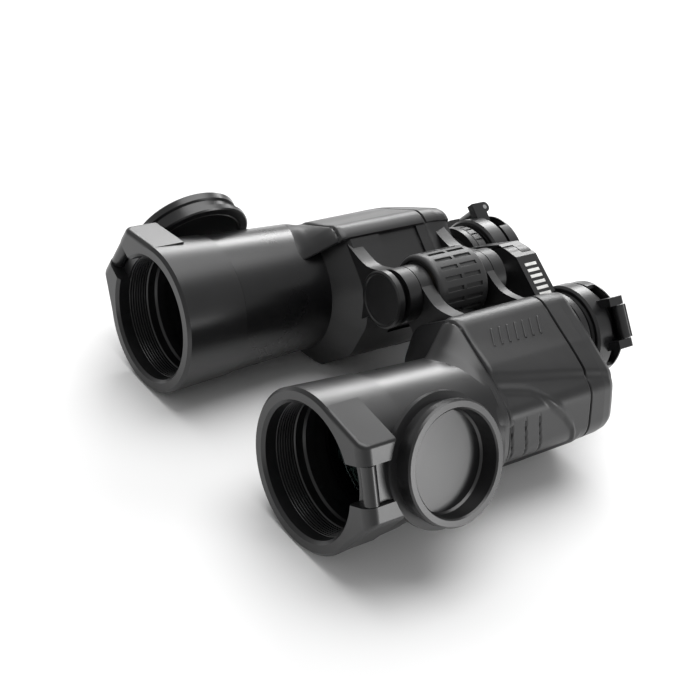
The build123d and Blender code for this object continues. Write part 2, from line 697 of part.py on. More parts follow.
def eyepiece_lid():
    """Hinged lid over the eyecup, shown closed."""
    rim_front = -172.4
    back = REAR_Y
    lid = turned([
        (0, back), (LID_RADIUS - 4.0, back), (LID_RADIUS - 1.2, back + 0.3), (LID_RADIUS, back + 1.5),
        (LID_RADIUS, rim_front), (LID_RADIUS - 1.4, rim_front), (LID_RADIUS - 1.4, back + 2.2),
        (0, back + 2.2),
    ])
    lid -= block(11, 40, back + 2.2, -100, -20, 20)
    lid -= block(20.2, 40, -200, -100, -20, 20)
    half = LID_EAR_IN - 0.3
    lid += block(15, LID_PIN_R, back + 0.4, back + 2.6, -half, half)
    lid += Pos(LID_PIN_R, LID_PIN_Y, 0) * Cylinder(LID_KNUCKLE, 2 * half)
    lid += block(LID_PIN_R - LID_KNUCKLE, LID_PIN_R + 1.2, back + 0.4, LID_PIN_Y, -half, half)
    tab = block(-LID_RADIUS - 2.2, -15, back + 0.3, back + 2.2, -4, 4)
    lid += fillet(tab.edges().filter_by(Axis.Y).sort_by(Axis.X)[:2], 1.5)
    lid -= Pos(LID_PIN_R, LID_PIN_Y, 0) * Cylinder(LID_PIN_RADIUS + BORE_RUN, 60)
    return across(LID_ANGLE, OCULAR_X, OCULAR_Z) * lid


def diopter_ring():
    """Ribbed ring that sets the right eyepiece against the left."""
    back, front = DIOPTER_SPAN
    ring = tube(COLLAR_RADIUS - 0.3, SLEEVE_RADIUS + 0.07, back, front)
    ring = chamfer(ring.edges().filter_by(GeomType.CIRCLE).group_by(SortBy.RADIUS)[-1], 0.6)
    cuts = []
    for index in range(DIOPTER_RIBS):
        turn = Rot(0, 360 / DIOPTER_RIBS * index, 0)
        cuts.append(turn * Pos(COLLAR_RADIUS - 0.3, (back + front) / 2, 0) * Box(1.2, 3.6, 1.1))
    ring -= cuts
    return Pos(OCULAR_X, 0, OCULAR_Z) * ring


# ---------------------------------------------------------------- run
def front_lens():
    """Biconvex crown lens of the objective."""
    front = -CELL_FRONT - 0.05
    return lens(LENS_RADIUS, front - 1.5, front - 6.5, 1.5, 2.0, OBJECTIVE_X, 0)


def second_lens():
    """Flint lens behind the crown lens, hollow in front."""
    front = -CELL_FRONT - 6.6
    return lens(LENS_RADIUS, front, front - 5.0, -2.1, 0.2, OBJECTIVE_X, 0)


def build_right_and_left():
    """Nodes that are the same on both sides, mirrored."""
    save_pair("objective_hood", objective_hood())
    save_pair("cap_hinge_pin", cap_hinge_pin())
    save_pair("objective_cap", objective_cap())
    save_pair("objective_barrel", objective_barrel())
    save_pair("objective_cell", objective_cell())
    save_pair("crown_lens", front_lens())
    save_pair("flint_lens", second_lens())
    save_pair("retaining_ring", retaining_ring())
    save_pair("prism_shelf", prism_shelf())
    for index, place in enumerate(("rear", "front")):
        save_pair(f"{place}_prism", prism(index))
        save_pair(f"{place}_prism_clip", prism_clip(index))
    for (x, z), place in zip(SCREW_SPOTS, ("upper", "lower")):
        save_pair(f"{place}_cover_screw", cover_screw(x, z))
    save_pair("field_lens", lens(TUBE_BORE - 0.05, -141.0, -144.0, 1.0, 1.5, OCULAR_X, OCULAR_Z))
    save_pair("eye_lens", lens(11.9, -165.0, -167.4, 1.2, 1.2, OCULAR_X, OCULAR_Z))
    save_pair("lid_ring", lid_ring())
    save_pair("lid_pin", lid_pin())
    save_pair("eyepiece_lid", eyepiece_lid())


def build_sided():
    """Nodes that differ from side to side."""
    flip = Plane.YZ
    save("right_prism_housing", finished_housing(RIGHT_FRONT_RING, BORE_RUN))
    save("left_prism_housing", mirror(single(finished_housing(LEFT_FRONT_RING, 0.0)), about=flip))
    save("right_rear_cover", rear_cover(RIGHT_REAR_RING, BORE_RUN))
    save("left_rear_cover", mirror(single(rear_cover(LEFT_REAR_RING, 0.0)), about=flip))
    back, front = ARM_SPAN
    save("right_eyepiece_arm", eyepiece_arm((back, HUB_SPLIT - 0.2), RIGHT_FLANGE))
    left_arm = eyepiece_arm((HUB_SPLIT + 0.2, front), LEFT_FLANGE)
    save("left_eyepiece_arm", mirror(single(left_arm), about=flip))
    save("right_eyepiece_barrel", eyepiece_barrel(RIGHT_SHOULDER))
    save("left_eyepiece_barrel", mirror(single(eyepiece_barrel(LEFT_SHOULDER)), about=flip))
    save("right_eyecup", eyecup(RIGHT_SHOULDER - 0.2))
    save("left_eyecup", mirror(single(eyecup(LEFT_SHOULDER - 0.6)), about=flip))


def build_centre():
    """Nodes on the centre hinge, and the right eyepiece's setting ring."""
    save("hinge_axle", hinge_axle())
    save("tripod_insert", tripod_insert())
    save("socket_cap", socket_cap())
    save("focus_wheel", focus_wheel())
    save("focus_nut", focus_nut())
    save("bridge_shaft", bridge_shaft())
    save("bridge_end_cap", bridge_end_cap())
    save("diopter_ring", diopter_ring())


if __name__ == "__main__":
    os.makedirs("parts", exist_ok=True)
    build_right_and_left()
    build_sided()
    build_centre()
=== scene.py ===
import json
import math

import bmesh
import bpy
from mathutils import Matrix, Vector


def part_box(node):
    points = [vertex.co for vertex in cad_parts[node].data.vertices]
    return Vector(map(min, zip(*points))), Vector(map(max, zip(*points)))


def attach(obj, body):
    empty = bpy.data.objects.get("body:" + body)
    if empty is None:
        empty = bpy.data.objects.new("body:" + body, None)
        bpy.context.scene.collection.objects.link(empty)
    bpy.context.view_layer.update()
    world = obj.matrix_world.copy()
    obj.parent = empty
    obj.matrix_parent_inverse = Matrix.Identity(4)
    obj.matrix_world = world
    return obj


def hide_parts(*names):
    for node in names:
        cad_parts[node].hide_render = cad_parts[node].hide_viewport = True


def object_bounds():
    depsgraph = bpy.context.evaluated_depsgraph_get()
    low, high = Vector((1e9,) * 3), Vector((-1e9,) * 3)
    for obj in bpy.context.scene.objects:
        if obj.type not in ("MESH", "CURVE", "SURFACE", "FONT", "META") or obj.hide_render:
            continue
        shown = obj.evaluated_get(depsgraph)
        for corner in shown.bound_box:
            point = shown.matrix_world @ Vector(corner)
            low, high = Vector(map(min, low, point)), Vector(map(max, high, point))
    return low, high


bl_info = {
    "name": "Porro Binoculars Looks",
    "version": (1, 0, 0),
    "blender": (4, 5, 0),
    "location": "View3D > Sidebar > Binoculars",
    "description": "Finishes, grip wheel, ribs, marks and studio for a pair of hinged binoculars",
    "category": "Object",
}

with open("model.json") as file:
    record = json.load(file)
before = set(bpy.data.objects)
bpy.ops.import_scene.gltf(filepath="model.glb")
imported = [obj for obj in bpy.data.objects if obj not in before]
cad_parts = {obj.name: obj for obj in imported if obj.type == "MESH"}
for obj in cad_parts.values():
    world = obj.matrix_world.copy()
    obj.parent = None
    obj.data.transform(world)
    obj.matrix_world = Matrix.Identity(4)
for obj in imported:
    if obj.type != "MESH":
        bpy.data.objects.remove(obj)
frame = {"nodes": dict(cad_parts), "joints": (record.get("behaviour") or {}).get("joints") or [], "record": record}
CAD_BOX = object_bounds()
MM = 0.001
SIDES = ("left", "right")


# ---------------------------------------------------------------- places read from the frame
def middle(node):
    """Centre of a CAD node's box."""
    low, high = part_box(node)
    return (low + high) / 2


def joint(name):
    """One joint of the frame by name."""
    return next(j for j in frame["joints"] if j["name"] == name)


def slot_of(node):
    """Material slot that the record gives a CAD node."""
    return next(s["material_slot"] for s in frame["record"]["subparts"] if s["node"] == node)


HINGE = Vector(joint("interpupillary_hinge")["pos_m"])
AXIS_LIFT = 32.8 * MM
STROKE_SETBACK = 16.0 * MM
ARM_WIDTH = 12.4 * MM


# ---------------------------------------------------------------- settings
class WheelSettings(bpy.types.PropertyGroup):
    """Sizes of the focusing wheel's grip."""

    rows: bpy.props.IntProperty(
        name="Slots round", description="Slots in one row round the wheel", default=20
    )
    slot_length: bpy.props.FloatProperty(
        name="Slot length",
        description="Length of a slot along the axle",
        default=9.2 * MM,
        unit="LENGTH",
    )
    slot_width: bpy.props.FloatProperty(
        name="Slot width", description="Width of a slot round the wheel", default=1.9 * MM, unit="LENGTH"
    )
    slot_depth: bpy.props.FloatProperty(
        name="Slot depth", description="Depth of a slot below the grip", default=0.8 * MM, unit="LENGTH"
    )
    edge_round: bpy.props.FloatProperty(
        name="Edge rounding",
        description="Rounding of the grip's edges",
        default=0.22 * MM,
        unit="LENGTH",
    )


class TrimSettings(bpy.types.PropertyGroup):
    """Ribs and marks that stand on the moulded parts."""

    baffle_count: bpy.props.IntProperty(
        name="Baffle rings", description="Light-stop rings in a hood", default=7
    )
    baffle_pitch: bpy.props.FloatProperty(
        name="Baffle pitch",
        description="Distance between light-stop rings",
        default=1.25 * MM,
        unit="LENGTH",
    )
    baffle_thickness: bpy.props.FloatProperty(
        name="Baffle thickness",
        description="Radius of a light-stop ring's bead",
        default=0.3 * MM,
        unit="LENGTH",
    )
    tick_count: bpy.props.IntProperty(
        name="Scale marks", description="Marks on the eyepiece arm", default=7
    )
    tick_length: bpy.props.FloatProperty(
        name="Mark length",
        description="Length of a mark across the arm",
        default=7.0 * MM,
        unit="LENGTH",
    )
    stroke_count: bpy.props.IntProperty(
        name="Strokes", description="Slanted strokes on the housing", default=7
    )
    stroke_lift: bpy.props.FloatProperty(
        name="Stroke lift",
        description="Height of the strokes' middle above the housing",
        default=1.0 * MM,
        unit="LENGTH",
    )
    stroke_pitch: bpy.props.FloatProperty(
        name="Stroke pitch",
        description="Distance between slanted strokes",
        default=4.4 * MM,
        unit="LENGTH",
    )


class FinishSettings(bpy.types.PropertyGroup):
    """Colours of the main finishes."""

    hood: bpy.props.FloatVectorProperty(
        name="Hood black",
        description="Colour of the hoods",
        subtype="COLOR",
        default=(0.0075, 0.0075, 0.008),
    )
    armour: bpy.props.FloatVectorProperty(
        name="Armour black",
        description="Colour of the barrels",
        subtype="COLOR",
        default=(0.006, 0.006, 0.0065),
    )
    housing: bpy.props.FloatVectorProperty(
        name="Housing black",
        description="Colour of the housings",
        subtype="COLOR",
        default=(0.011, 0.011, 0.0115),
    )
    grip: bpy.props.FloatVectorProperty(
        name="Grip black",
        description="Colour of the wheel's grip",
        subtype="COLOR",
        default=(0.026, 0.026, 0.0265),
    )
    mark: bpy.props.FloatVectorProperty(
        name="Mark white", description="Colour of the marks", subtype="COLOR", default=(0.82, 0.82, 0.8)
    )


# ---------------------------------------------------------------- shader building blocks
class Graph:
    """Short ways to add and join nodes in one node tree."""

    def __init__(self, tree):
        self.tree = tree

    def node(self, kind, **settings):
        made = self.tree.nodes.new(kind)
        for name, value in settings.items():
            setattr(made, name, value)
        return made

    def join(self, source, target):
        self.tree.links.new(source, target)

    def feed(self, node, socket, value):
        """Link a socket, or set a plain value."""
        target = node.inputs[socket]
        if isinstance(value, bpy.types.NodeSocket):
            self.join(value, target)
        else:
            target.default_value = value

    def math(self, operation, first, second=0.0, clamp=False):
        made = self.node("ShaderNodeMath", operation=operation, use_clamp=clamp)
        self.feed(made, 0, first)
        self.feed(made, 1, second)
        return made.outputs[0]

    def noise(self, vector, scale, detail=4.0, roughness=0.55):
        made = self.node("ShaderNodeTexNoise")
        self.feed(made, "Vector", vector)
        self.feed(made, "Scale", scale)
        made.inputs["Detail"].default_value = detail
        made.inputs["Roughness"].default_value = roughness
        return made.outputs["Fac"]

    def span(self, value, low, high, to_low, to_high):
        made = self.node("ShaderNodeMapRange")
        self.feed(made, "Value", value)
        self.feed(made, "From Min", low)
        self.feed(made, "From Max", high)
        self.feed(made, "To Min", to_low)
        self.feed(made, "To Max", to_high)
        return made.outputs["Result"]

    def tint(self, factor, first, second):
        made = self.node("ShaderNodeMix", data_type="RGBA")
        self.feed(made, 0, factor)
        self.feed(made, 6, first)
        self.feed(made, 7, second)
        return made.outputs[2]


def new_group(name, inputs, outputs):
    """An empty shader node group with named sockets."""
    tree = bpy.data.node_groups.new(name, "ShaderNodeTree")
    for label, value in inputs.items():
        socket = tree.interface.new_socket(label, in_out="INPUT", socket_type="NodeSocketFloat")
        socket.default_value = value
    for label in outputs:
        tree.interface.new_socket(label, in_out="OUTPUT", socket_type="NodeSocketFloat")
    graph = Graph(tree)
    return tree, graph, graph.node("NodeGroupInput").outputs, graph.node("NodeGroupOutput")


def moulded_grain_group():
    """Fine spark-eroded grain with a slow mottle under it."""
    inputs = {"Scale": 2400.0, "Mottle Scale": 45.0}
    tree, g, given, out = new_group("Moulded grain", inputs, ["Height", "Mottle"])
    place = g.node("ShaderNodeTexCoord").outputs["Object"]
    cells = g.node("ShaderNodeTexVoronoi", feature="SMOOTH_F1")
    g.feed(cells, "Vector", place)
    g.feed(cells, "Scale", given["Scale"])
    fine = g.noise(place, given["Scale"], 3.0, 0.6)
    coarse = g.math("MULTIPLY", cells.outputs["Distance"], 0.6)
    height = g.math("ADD", coarse, g.math("MULTIPLY", fine, 0.5))
    g.join(height, out.inputs["Height"])
    g.join(g.noise(place, given["Mottle Scale"], 4.0), out.inputs["Mottle"])
    return tree


def handling_wear_group():
    """Smudges from hands and fine hairline scratches."""
    inputs = {"Smudge Scale": 38.0, "Scratch Scale": 260.0}
    tree, g, given, out = new_group("Handling wear", inputs, ["Smudge", "Scratch"])
    place = g.node("ShaderNodeTexCoord").outputs["Object"]
    smudge = g.span(g.noise(place, given["Smudge Scale"], 5.0, 0.62), 0.42, 0.7, 0.0, 1.0)
    turn = g.node("ShaderNodeMapping")
    g.feed(turn, "Vector", place)
    turn.inputs["Rotation"].default_value = (0.4, 0.9, 0.6)
    turn.inputs["Scale"].default_value = (1.0, 0.035, 1.0)
    streak = g.noise(turn.outputs["Vector"], given["Scratch Scale"], 2.0, 0.5)
    line = g.span(streak, 0.665, 0.69, 0.0, 1.0)
    patch = g.span(g.noise(place, 24.0, 2.0), 0.5, 0.68, 0.0, 1.0)
    g.join(smudge, out.inputs["Smudge"])
    g.join(g.math("MULTIPLY", line, patch), out.inputs["Scratch"])
    return tree


def settled_dust_group():
    """Fine dust that lies on what faces up."""
    tree, g, given, out = new_group("Settled dust", {"Amount": 0.3}, ["Dust"])
    place = g.node("ShaderNodeTexCoord").outputs["Object"]
    facing = g.node("ShaderNodeSeparateXYZ")
    g.join(g.node("ShaderNodeNewGeometry").outputs["Normal"], facing.inputs[0])
    up = g.span(facing.outputs["Z"], 0.35, 1.0, 0.0, 1.0)
    cloud = g.span(g.noise(place, 90.0, 6.0, 0.7), 0.45, 0.75, 0.0, 1.0)
    specks = g.span(g.noise(place, 1500.0, 1.0), 0.7, 0.76, 0.0, 1.0)
    loose = g.math("MAXIMUM", g.math("MULTIPLY", cloud, 0.55), specks)
    g.join(g.math("MULTIPLY", g.math("MULTIPLY", loose, up), given["Amount"]), out.inputs["Dust"])
    return tree


def lathe_marks_group():
    """Fine turning lines round an axis along Y."""
    tree, g, given, out = new_group("Lathe marks", {"Pitch Scale": 900.0}, ["Height"])
    place = g.node("ShaderNodeTexCoord").outputs["Object"]
    squeeze = g.node("ShaderNodeMapping")
    g.feed(squeeze, "Vector", place)
    squeeze.inputs["Scale"].default_value = (0.02, 1.0, 0.02)
    g.join(g.noise(squeeze.outputs["Vector"], given["Pitch Scale"], 3.0, 0.7), out.inputs["Height"])
    return tree


GROUPS = {}
SCUFF_GREY = (0.06, 0.06, 0.06, 1.0)
DUST_GREY = (0.10, 0.10, 0.095, 1.0)


def shared_groups():
    """Build the shader groups once."""
    if not GROUPS:
        GROUPS["grain"] = moulded_grain_group()
        GROUPS["wear"] = handling_wear_group()
        GROUPS["dust"] = settled_dust_group()
        GROUPS["lathe"] = lathe_marks_group()
    return GROUPS


def start_material(name):
    """A material with a Principled shader and a graph to add to."""
    material = bpy.data.materials.new(name)
    material.use_nodes = True
    graph = Graph(material.node_tree)
    return material, graph, material.node_tree.nodes["Principled BSDF"]


def add_group(graph, key, **values):
    """Place one of the shared groups in a material."""
    made = graph.node("ShaderNodeGroup", node_tree=shared_groups()[key])
    for label, value in values.items():
        made.inputs[label.replace("_", " ")].default_value = value
    return made.outputs


def moulded_black(name, colour, roughness, grain, depth, dust, sheen=0.5):
    """Black moulded or lacquered surface with grain, smudges, hairlines and a little dust."""
    material, g, shader = start_material(name)
    grained = add_group(g, "grain", Scale=grain)
    worn = add_group(g, "wear")
    dusty = add_group(g, "dust", Amount=dust)
    base = (*colour, 1.0)
    lighter = (*[c * 1.35 + 0.001 for c in colour], 1.0)
    mottled = g.tint(g.span(grained["Mottle"], 0.35, 0.7, 0.0, 0.8), base, lighter)
    scuffed = g.tint(g.math("MULTIPLY", worn["Scratch"], 0.04), mottled, SCUFF_GREY)
    g.feed(shader, "Base Color", g.tint(dusty["Dust"], scuffed, DUST_GREY))
    smudged = g.math("MULTIPLY", worn["Smudge"], -0.015)
    matted = g.math("MULTIPLY", grained["Mottle"], 0.05)
    total = g.math("ADD", g.math("ADD", smudged, roughness), matted)
    g.feed(shader, "Roughness", g.math("ADD", total, g.math("MULTIPLY", dusty["Dust"], 0.3), clamp=True))
    shader.inputs["Specular IOR Level"].default_value = sheen
    bump = g.node("ShaderNodeBump")
    bump.inputs["Strength"].default_value = 0.35
    bump.inputs["Distance"].default_value = depth
    g.feed(bump, "Height", grained["Height"])
    g.feed(shader, "Normal", bump.outputs["Normal"])
    return material


def turned_metal(name, colour, roughness, lines, depth):
    """Machined metal with turning lines and light handling."""
    material, g, shader = start_material(name)
    marks = add_group(g, "lathe", Pitch_Scale=lines)
    worn = add_group(g, "wear")
    base = (*colour, 1.0)
    darker = (*[c * 0.7 for c in colour], 1.0)
    g.feed(shader, "Base Color", g.tint(worn["Smudge"], base, darker))
    shader.inputs["Metallic"].default_value = 1.0
    shift = g.math("MULTIPLY", g.math("SUBTRACT", marks["Height"], 0.5), 0.3)
    g.feed(shader, "Roughness", g.math("ADD", shift, roughness, clamp=True))
    bump = g.node("ShaderNodeBump")
    bump.inputs["Strength"].default_value = 0.4
    bump.inputs["Distance"].default_value = depth
    g.feed(bump, "Height", marks["Height"])
    g.feed(shader, "Normal", bump.outputs["Normal"])
    return material


def coated_glass():
    """Optical glass with a faint coating tint and a few dust specks."""
    material, g, shader = start_material("Coated optical glass")
    dusty = add_group(g, "dust", Amount=0.25)
    rim = g.node("ShaderNodeLayerWeight")
    rim.inputs["Blend"].default_value = 0.35
    coat = g.tint(rim.outputs["Facing"], (0.55, 0.70, 0.62, 1.0), (0.45, 0.36, 0.62, 1.0))
    g.feed(shader, "Base Color", g.tint(dusty["Dust"], coat, (0.8, 0.8, 0.78, 1.0)))
    shader.inputs["Transmission Weight"].default_value = 1.0
    shader.inputs["IOR"].default_value = 1.52
    worn = add_group(g, "wear", Smudge_Scale=60.0)
    g.feed(shader, "Roughness", g.math("MULTIPLY", worn["Smudge"], 0.05))
    return material


def printed_white(colour):
    """Pad-printed mark with slightly worn ink."""
    material, g, shader = start_material("Printed mark")
    worn = add_group(g, "wear", Smudge_Scale=300.0)
    worn_ink = (*[c * 0.75 for c in colour], 1.0)
    g.feed(shader, "Base Color", g.tint(worn["Smudge"], (*colour, 1.0), worn_ink))
    g.feed(shader, "Roughness", g.span(worn["Smudge"], 0.0, 1.0, 0.4, 0.6))
    return material


FINISHES = {}


def make_finishes(settings):
    """One material for each of the record's slots."""
    hood = tuple(settings.hood)
    armour = tuple(settings.armour)
    housing = tuple(settings.housing)
    grip = tuple(settings.grip)
    FINISHES["hood_plastic"] = moulded_black("Hood plastic", hood, 0.30, 2600.0, 0.00002, 0.015, 0.6)
    FINISHES["armour"] = moulded_black("Barrel armour", armour, 0.26, 3200.0, 0.00001, 0.01, 0.6)
    FINISHES["housing"] = moulded_black("Housing lacquer", housing, 0.36, 2000.0, 0.00003, 0.02, 0.55)
    FINISHES["cap_plastic"] = moulded_black("Cap plastic", hood, 0.28, 2800.0, 0.00001, 0.01, 0.65)
    FINISHES["bridge_metal"] = moulded_black("Bridge lacquer", housing, 0.32, 1700.0, 0.00002, 0.05, 0.55)
    FINISHES["wheel_rubber"] = moulded_black("Grip rubber", grip, 0.40, 1900.0, 0.00003, 0.08)
    FINISHES["eyecup_rubber"] = moulded_black("Eyecup rubber", armour, 0.50, 1500.0, 0.00004, 0.08, 0.4)
    FINISHES["anodised"] = turned_metal("Black anodising", (0.012, 0.012, 0.013), 0.42, 1600.0, 0.00002)
    FINISHES["bright_steel"] = turned_metal("Bright steel", (0.78, 0.78, 0.79), 0.16, 2400.0, 0.00001)
    FINISHES["spring_steel"] = turned_metal("Plain steel", (0.38, 0.38, 0.39), 0.32, 2000.0, 0.00002)
    FINISHES["brass_insert"] = turned_metal("Turned brass", (0.72, 0.55, 0.26), 0.28, 1800.0, 0.00002)
    FINISHES["optical_glass"] = coated_glass()
    FINISHES["mark"] = printed_white(tuple(settings.mark))


# ---------------------------------------------------------------- mesh helpers
def link_piece(name, mesh, body, material):
    """Put a finished mesh in the scene, riding on a body."""
    piece = bpy.data.objects.new(name, mesh)
    bpy.context.scene.collection.objects.link(piece)
    if material is not None:
        mesh.materials.clear()
        mesh.materials.append(material)
    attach(piece, body)
    return piece


def smooth_mesh(mesh, degrees=35.0):
    """Smooth shading with sharp edges above an angle."""
    mesh.shade_smooth()
    mesh.set_sharp_from_angle(angle=math.radians(degrees))


def rounded_profile(points, radius, steps=4):
    """A closed profile with each corner replaced by a short arc."""
    count = len(points)
    made = []
    for index, corner in enumerate(points):
        before = Vector(points[index - 1])
        after = Vector(points[(index + 1) % count])
        here = Vector(corner)
        to_before, to_after = before - here, after - here
        reach = min(radius, to_before.length * 0.45, to_after.length * 0.45)
        start = here + to_before.normalized() * reach
        end = here + to_after.normalized() * reach
        if here.x < 1e-7:
            made.append((here.x, here.y))
            continue
        for step in range(steps + 1):
            t = step / steps
            spot = start.lerp(here, t).lerp(here.lerp(end, t), t)
            made.append((spot.x, spot.y))
    return made


def turned_mesh(name, profile, x, z, segments=160):
    """A closed ring of (radius, y) points turned about a line along Y."""
    built = bmesh.new()
    rings = []
    for radius, y in profile:
        if radius < 1e-7:
            rings.append([built.verts.new((x, y, z))])
            continue
        ring = []
        for index in range(segments):
            angle = 2 * math.pi * index / segments
            spot = (x + radius * math.cos(angle), y, z + radius * math.sin(angle))
            ring.append(built.verts.new(spot))
        rings.append(ring)
    for index, ring in enumerate(rings):
        after = rings[(index + 1) % len(rings)]
        if len(ring) == 1 and len(after) == 1:
            continue
        for k in range(segments):
            n = (k + 1) % segments
            near = [ring[k % len(ring)], ring[n % len(ring)]]
            far = [after[n % len(after)], after[k % len(after)]]
            unique = list(dict.fromkeys(near + far))
            if len(unique) > 2:
                built.faces.new(unique)
    bmesh.ops.recalc_face_normals(built, faces=built.faces)
    mesh = bpy.data.meshes.new(name)
    built.to_mesh(mesh)
    built.free()
    smooth_mesh(mesh)
    return mesh


# ---------------------------------------------------------------- geometry node trees
def new_tree(name, inputs, takes_mesh=False):
    """A geometry node tree with named inputs, as {label: (socket type, default)}."""
    tree = bpy.data.node_groups.new(name, "GeometryNodeTree")
    if takes_mesh:
        tree.interface.new_socket("Geometry", in_out="INPUT", socket_type="NodeSocketGeometry")
    for label, (kind, value) in inputs.items():
        socket = tree.interface.new_socket(label, in_out="INPUT", socket_type=kind)
        if value is not None:
            socket.default_value = value
    tree.interface.new_socket("Geometry", in_out="OUTPUT", socket_type="NodeSocketGeometry")
    graph = Graph(tree)
    return tree, graph, graph.node("NodeGroupInput").outputs, graph.node("NodeGroupOutput")


def bar_inputs():
    """Inputs shared by the trees that set bars round an axis."""
    return {
        "Count": ("NodeSocketInt", 20),
        "Rows": ("NodeSocketInt", 1),
        "Radius": ("NodeSocketFloat", 0.01),
        "Row Pitch": ("NodeSocketFloat", 0.01),
        "Bar Size": ("NodeSocketVector", (0.001, 0.001, 0.001)),
        "Centre": ("NodeSocketVector", (0.0, 0.0, 0.0)),
        "Start": ("NodeSocketFloat", 0.0),
        "Sweep": ("NodeSocketFloat", 2 * math.pi),
        "Finish": ("NodeSocketMaterial", None),
    }


def bars_round_axis(g, given):
    """Bars set round a line along Y, in rows, as real geometry."""
    total = g.math("MULTIPLY", given["Count"], given["Rows"])
    index = g.node("GeometryNodeInputIndex").outputs[0]
    row = g.math("FLOOR", g.math("DIVIDE", g.math("ADD", index, 0.5), given["Count"]))
    column = g.math("SUBTRACT", index, g.math("MULTIPLY", row, given["Count"]))
    share = g.math("DIVIDE", column, given["Count"])
    angle = g.math("ADD", given["Start"], g.math("MULTIPLY", share, given["Sweep"]))
    mid_row = g.math("MULTIPLY", g.math("SUBTRACT", given["Rows"], 1.0), 0.5)
    along = g.math("MULTIPLY", g.math("SUBTRACT", row, mid_row), given["Row Pitch"])
    spot = g.node("ShaderNodeCombineXYZ")
    g.feed(spot, "X", g.math("MULTIPLY", g.math("COSINE", angle), given["Radius"]))
    g.feed(spot, "Y", along)
    g.feed(spot, "Z", g.math("MULTIPLY", g.math("SINE", angle), given["Radius"]))
    place = g.node("ShaderNodeVectorMath", operation="ADD")
    g.feed(place, 0, spot.outputs[0])
    g.feed(place, 1, given["Centre"])
    points = g.node("GeometryNodePoints")
    g.feed(points, "Count", total)
    g.feed(points, "Position", place.outputs[0])
    turn = g.node("ShaderNodeCombineXYZ")
    g.feed(turn, "Y", g.math("MULTIPLY", angle, -1.0))
    bar = g.node("GeometryNodeMeshCube")
    g.feed(bar, "Size", given["Bar Size"])
    placed = g.node("GeometryNodeInstanceOnPoints")
    g.feed(placed, "Points", points.outputs[0])
    g.feed(placed, "Instance", bar.outputs["Mesh"])
    g.feed(placed, "Rotation", turn.outputs[0])
    real = g.node("GeometryNodeRealizeInstances")
    g.feed(real, "Geometry", placed.outputs[0])
    return real.outputs[0]


def finish_tree(g, geometry, given, out):
    """End a tree with Set Material."""
    painted = g.node("GeometryNodeSetMaterial")
    g.feed(painted, "Geometry", geometry)
    g.feed(painted, "Material", given["Finish"])
    g.join(painted.outputs[0], out.inputs["Geometry"])


def slots_tree():
    """Slots cut round a turned piece."""
    tree, g, given, out = new_tree("Slots round an axis", bar_inputs(), takes_mesh=True)
    cut = g.node("GeometryNodeMeshBoolean", operation="DIFFERENCE", solver="EXACT")
    g.feed(cut, "Mesh 1", given["Geometry"])
    g.feed(cut, "Mesh 2", bars_round_axis(g, given))
    finish_tree(g, cut.outputs["Mesh"], given, out)
    return tree


def rings_tree():
    """Beads set one behind another along Y."""
    inputs = {
        "Count": ("NodeSocketInt", 5),
        "Pitch": ("NodeSocketFloat", 0.001),
        "Radius": ("NodeSocketFloat", 0.02),
        "Thickness": ("NodeSocketFloat", 0.0003),
        "Centre": ("NodeSocketVector", (0.0, 0.0, 0.0)),
        "Finish": ("NodeSocketMaterial", None),
    }
    tree, g, given, out = new_tree("Rings along an axis", inputs)
    index = g.node("GeometryNodeInputIndex").outputs[0]
    step = g.node("ShaderNodeCombineXYZ")
    g.feed(step, "Y", g.math("MULTIPLY", index, g.math("MULTIPLY", given["Pitch"], -1.0)))
    place = g.node("ShaderNodeVectorMath", operation="ADD")
    g.feed(place, 0, step.outputs[0])
    g.feed(place, 1, given["Centre"])
    points = g.node("GeometryNodePoints")
    g.feed(points, "Count", given["Count"])
    g.feed(points, "Position", place.outputs[0])
    loop = g.node("GeometryNodeCurvePrimitiveCircle", mode="RADIUS")
    loop.inputs["Resolution"].default_value = 120
    g.feed(loop, "Radius", given["Radius"])
    bead = g.node("GeometryNodeCurvePrimitiveCircle", mode="RADIUS")
    bead.inputs["Resolution"].default_value = 8
    g.feed(bead, "Radius", given["Thickness"])
    swept = g.node("GeometryNodeCurveToMesh")
    g.feed(swept, "Curve", loop.outputs[0])
    g.feed(swept, "Profile Curve", bead.outputs[0])
    placed = g.node("GeometryNodeInstanceOnPoints")
    g.feed(placed, "Points", points.outputs[0])
    g.feed(placed, "Instance", swept.outputs[0])
    placed.inputs["Rotation"].default_value = (math.pi / 2, 0.0, 0.0)
    real = g.node("GeometryNodeRealizeInstances")
    g.feed(real, "Geometry", placed.outputs[0])
    finish_tree(g, real.outputs[0], given, out)
    return tree


